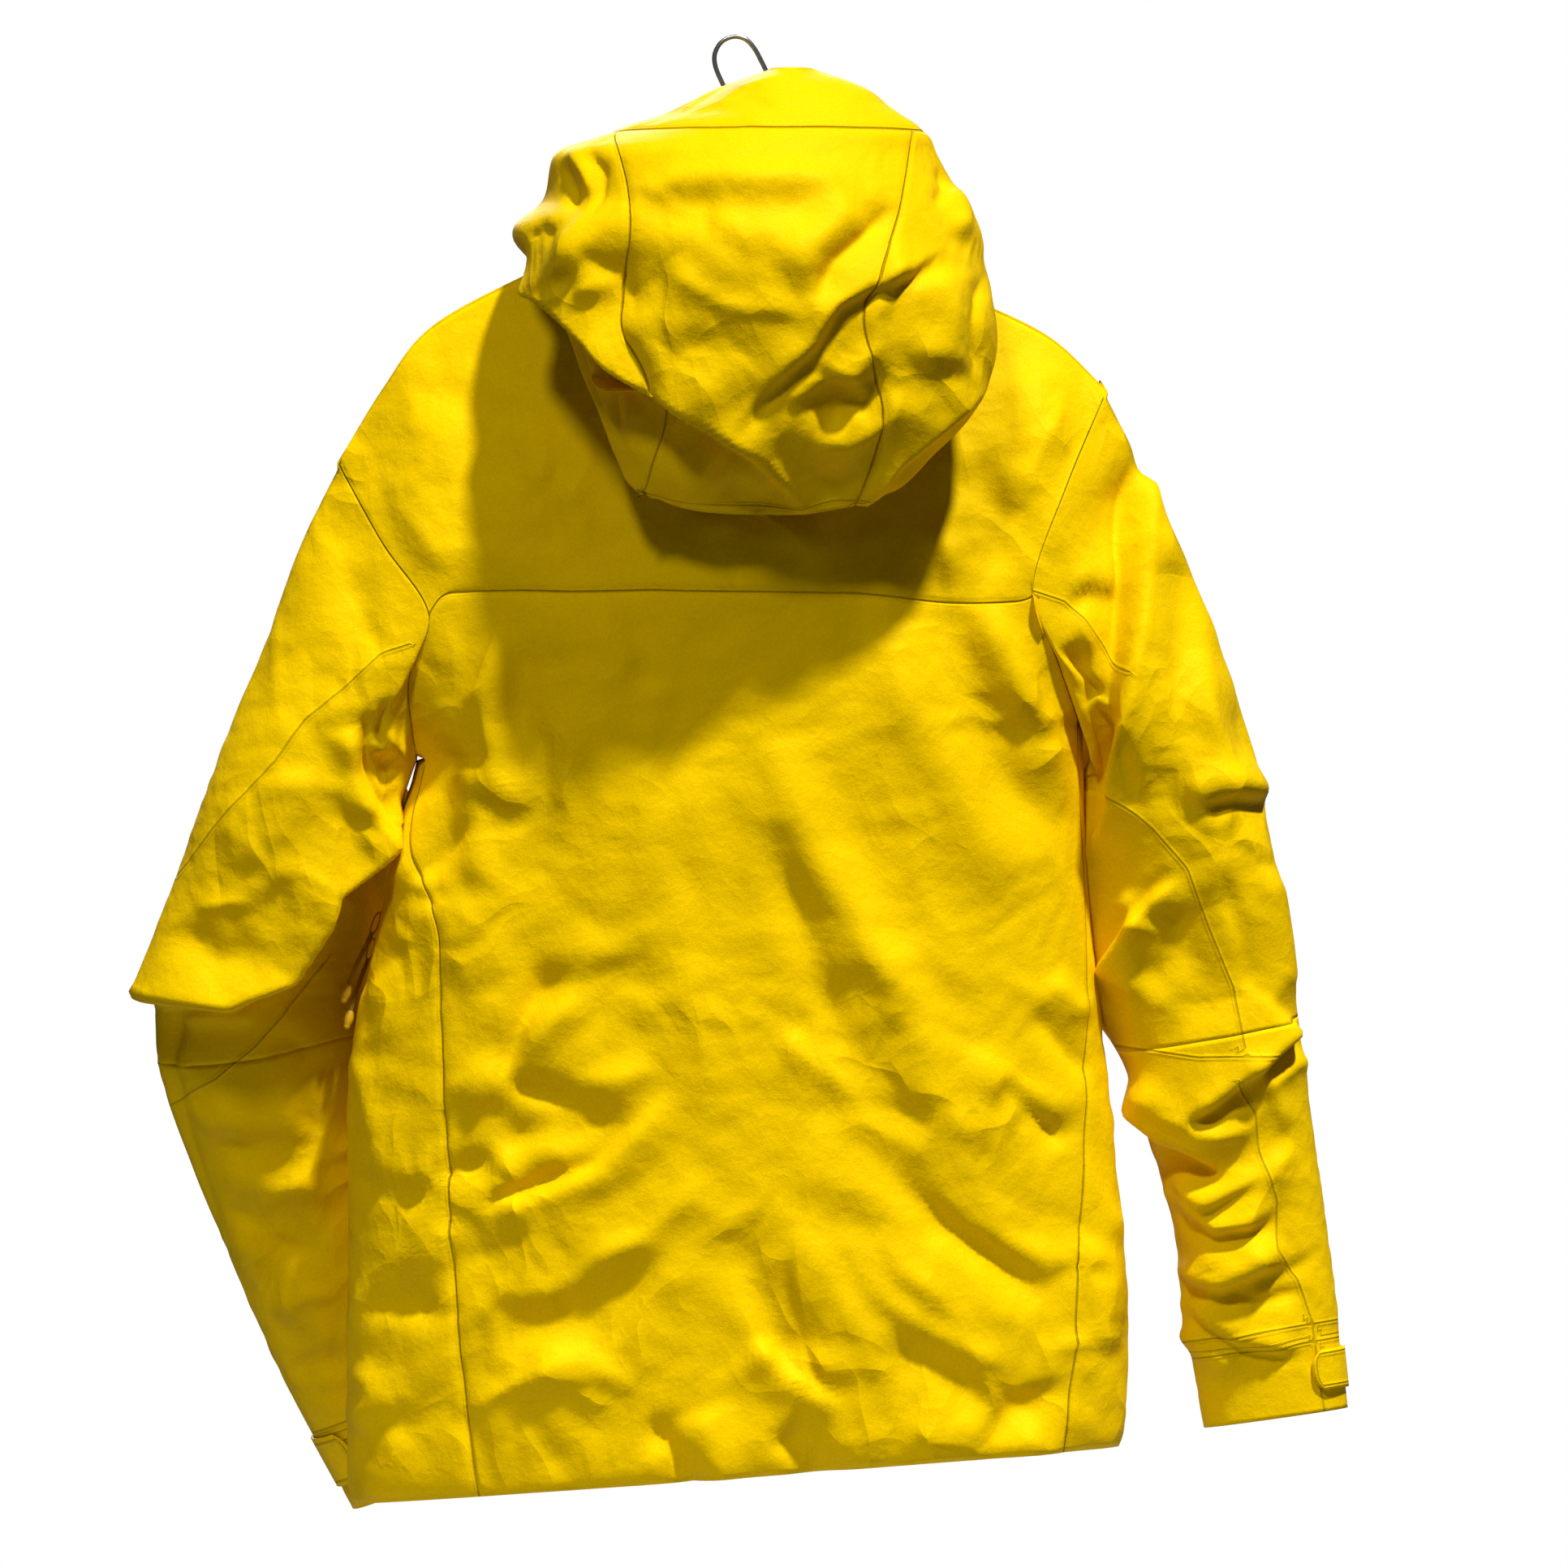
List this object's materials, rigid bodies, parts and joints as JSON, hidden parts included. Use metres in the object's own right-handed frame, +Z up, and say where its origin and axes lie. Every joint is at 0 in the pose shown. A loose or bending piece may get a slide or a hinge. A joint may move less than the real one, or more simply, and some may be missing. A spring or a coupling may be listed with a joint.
{
  "type": "hardshell jacket",
  "caption": "Hooded hardshell jacket with front, underarm and pocket zips, bending sleeves, tabbed cuffs and hem cord locks, on a wire-hook hanger.",
  "frame": {"origin": "point inside the hanger's hook where it bears on a rail", "axes": "+Z up, +Y out of the jacket's front, +X towards the wearer's right hand"},
  "size_m": [0.815, 0.3227, 1.0046],
  "materials": {
    "shell_fabric": "matte plain-weave shell",
    "lining": "matte insulated lining",
    "webbing": "woven tape",
    "zip": "coated coil zip",
    "pull_webbing": "woven cord pull",
    "tab_fabric": "bonded shell fabric",
    "lock_plastic": "moulded",
    "hanger_plastic": "moulded",
    "hook_steel": "polished wire"
  },
  "bodies": {
    "torso": {"back_panel": "shell_fabric", "back_yoke": "shell_fabric", "left_side_panel": "shell_fabric", "right_side_panel": "shell_fabric", "left_front_panel": "shell_fabric", "left_front_lining": "lining", "right_front_panel": "shell_fabric", "right_front_lining": "lining", "back_lining": "lining", "left_collar": "shell_fabric", "right_collar": "shell_fabric", "left_sleeve_shoulder": "shell_fabric", "right_sleeve_shoulder": "shell_fabric", "hood_neck_panel": "shell_fabric", "front_zip_tape_left": "zip", "front_zip_tape_right": "zip", "left_pit_zip_tape": "zip", "left_pocket_zip_tape": "zip", "right_pit_zip_tape": "zip", "right_pocket_zip_tape": "zip", "hem_cord_lock_left": "lock_plastic", "hem_cord_lock_right": "lock_plastic", "hang_loop": "webbing", "neck_label": "webbing", "hanger_bar": "hanger_plastic"},
    "hook": {"hanger_hook": "hook_steel"},
    "hood": {"hood_center_panel": "shell_fabric", "hood_left_panel": "shell_fabric", "hood_right_panel": "shell_fabric", "hood_brim": "shell_fabric", "hood_lining": "lining"},
    "left_upper_sleeve": {"left_sleeve_upper": "shell_fabric", "left_sleeve_elbow": "shell_fabric"},
    "left_forearm": {"left_sleeve_forearm": "shell_fabric", "left_cuff": "shell_fabric"},
    "left_tab": {"left_cuff_tab": "tab_fabric"},
    "left_pit_slider_upper": {"left_pit_zip_slider_upper": "zip"},
    "left_pit_pull_upper": {"left_pit_zip_pull_upper": "pull_webbing"},
    "left_pit_slider_lower": {"left_pit_zip_slider_lower": "zip"},
    "left_pit_pull_lower": {"left_pit_zip_pull_lower": "pull_webbing"},
    "left_pocket_slider": {"left_pocket_zip_slider": "zip"},
    "left_pocket_pull": {"left_pocket_zip_pull": "pull_webbing"},
    "left_hem_button": {"hem_cord_button_left": "lock_plastic"},
    "right_upper_sleeve": {"right_sleeve_upper": "shell_fabric", "right_sleeve_elbow": "shell_fabric"},
    "right_forearm": {"right_sleeve_forearm": "shell_fabric", "right_cuff": "shell_fabric"},
    "right_tab": {"right_cuff_tab": "tab_fabric"},
    "right_pit_slider_upper": {"right_pit_zip_slider_upper": "zip"},
    "right_pit_pull_upper": {"right_pit_zip_pull_upper": "pull_webbing"},
    "right_pit_slider_lower": {"right_pit_zip_slider_lower": "zip"},
    "right_pit_pull_lower": {"right_pit_zip_pull_lower": "pull_webbing"},
    "right_pocket_slider": {"right_pocket_zip_slider": "zip"},
    "right_pocket_pull": {"right_pocket_zip_pull": "pull_webbing"},
    "right_hem_button": {"hem_cord_button_right": "lock_plastic"},
    "front_slider": {"front_zip_slider": "zip"},
    "front_pull": {"front_zip_pull": "pull_webbing"}
  },
  "joints": [
    {"name": "hook_swivel", "type": "hinge", "parent": "torso", "child": "hook", "pos_m": [0, 0, 0], "axis": [0, 0, 1], "continuous": true},
    {"name": "hood_lift", "type": "hinge", "parent": "torso", "child": "hood", "pos_m": [0, -0.052, -0.115], "axis": [-1, 0, 0], "range_deg": [0, 5], "deforming": ["hood_neck_panel"]},
    {"name": "left_shoulder_swing", "type": "hinge", "parent": "torso", "child": "left_upper_sleeve", "pos_m": [-0.25, 0, -0.335], "axis": [0, 1, 0], "range_deg": [0, 35], "deforming": ["left_sleeve_shoulder"]},
    {"name": "left_elbow_bend", "type": "hinge", "parent": "left_upper_sleeve", "child": "left_forearm", "pos_m": [-0.32878, 0.03748, -0.70845], "axis": [1, 0, 0], "range_deg": [0, 55], "deforming": ["left_sleeve_elbow"]},
    {"name": "left_cuff_tab_peel", "type": "hinge", "parent": "left_forearm", "child": "left_tab", "pos_m": [-0.26139, 0.0785, -0.96381], "axis": [-0.4103, -0.1109, 0.9052], "range_deg": [0, 60]},
    {"name": "right_shoulder_swing", "type": "hinge", "parent": "torso", "child": "right_upper_sleeve", "pos_m": [0.248, 0, -0.305], "axis": [0, -1, 0], "range_deg": [0, 35], "deforming": ["right_sleeve_shoulder"]},
    {"name": "right_elbow_bend", "type": "hinge", "parent": "right_upper_sleeve", "child": "right_forearm", "pos_m": [0.32529, 0.02054, -0.69112], "axis": [1, 0, 0], "range_deg": [0, 55], "deforming": ["right_sleeve_elbow"]},
    {"name": "right_cuff_tab_peel", "type": "hinge", "parent": "right_forearm", "child": "right_tab", "pos_m": [0.39097, -0.00332, -0.90506], "axis": [0.1403, -0.003, -0.9901], "range_deg": [0, 60]},
    {"name": "front_zip", "type": "slide", "parent": "torso", "child": "front_slider", "axis": [0, 0.045, -0.999], "range_m": [0, 0.69]},
    {"name": "front_pull_flip", "type": "hinge", "parent": "front_slider", "child": "front_pull", "pos_m": [0, 0.06731, -0.15258], "axis": [1, 0, 0], "range_deg": [0, 150]},
    {"name": "left_pit_zip_upper", "type": "slide", "parent": "torso", "child": "left_pit_slider_upper", "axis": [0.2239, -0.0134, 0.9745], "range_m": [0, 0.055]},
    {"name": "left_pit_pull_upper_flip", "type": "hinge", "parent": "left_pit_slider_upper", "child": "left_pit_pull_upper", "pos_m": [-0.24143, 0.02502, -0.59395], "axis": [0.5649, 0.8166, -0.1185], "range_deg": [0, 45]},
    {"name": "left_pit_zip_lower", "type": "slide", "parent": "torso", "child": "left_pit_slider_lower", "axis": [0.2239, -0.0134, 0.9745], "range_m": [0, 0.0028]},
    {"name": "left_pit_pull_lower_flip", "type": "hinge", "parent": "left_pit_slider_lower", "child": "left_pit_pull_lower", "pos_m": [-0.24541, 0.02521, -0.61162], "axis": [0.5649, 0.8166, -0.1185], "range_deg": [0, 45]},
    {"name": "left_pocket_zip", "type": "slide", "parent": "torso", "child": "left_pocket_slider", "axis": [-0.1269, 0.0122, -0.9918], "range_m": [0, 0.13]},
    {"name": "left_pocket_pull_flip", "type": "hinge", "parent": "left_pocket_slider", "child": "left_pocket_pull", "pos_m": [-0.15132, 0.08021, -0.6988], "axis": [0.9622, 0.2443, -0.1201], "range_deg": [0, 120]},
    {"name": "left_hem_button_press", "type": "slide", "parent": "torso", "child": "left_hem_button", "axis": [0, 0, -1], "range_m": [0, 0.003], "stiffness_N_per_m": 250, "springref_m": -0.002},
    {"name": "right_pit_zip_upper", "type": "slide", "parent": "torso", "child": "right_pit_slider_upper", "axis": [-0.0485, -0.0142, 0.9987], "range_m": [0, 0.055]},
    {"name": "right_pit_pull_upper_flip", "type": "hinge", "parent": "right_pit_slider_upper", "child": "right_pit_pull_upper", "pos_m": [0.23936, 0.02514, -0.56835], "axis": [0.5895, -0.8076, 0.0171], "range_deg": [0, 30]},
    {"name": "right_pit_zip_lower", "type": "slide", "parent": "torso", "child": "right_pit_slider_lower", "axis": [-0.0485, -0.0142, 0.9987], "range_m": [0, 0.0028]},
    {"name": "right_pit_pull_lower_flip", "type": "hinge", "parent": "right_pit_slider_lower", "child": "right_pit_pull_lower", "pos_m": [0.24012, 0.02533, -0.58558], "axis": [0.5895, -0.8076, 0.0171], "range_deg": [0, 30]},
    {"name": "right_pocket_zip", "type": "slide", "parent": "torso", "child": "right_pocket_slider", "axis": [0.2115, 0.0022, -0.9774], "range_m": [0, 0.13]},
    {"name": "right_pocket_pull_flip", "type": "hinge", "parent": "right_pocket_slider", "child": "right_pocket_pull", "pos_m": [0.13837, 0.08021, -0.68069], "axis": [0.9487, -0.2407, 0.2048], "range_deg": [0, 120]},
    {"name": "right_hem_button_press", "type": "slide", "parent": "torso", "child": "right_hem_button", "axis": [0, 0, -1], "range_m": [0, 0.003], "stiffness_N_per_m": 250, "springref_m": -0.002}
  ]
}
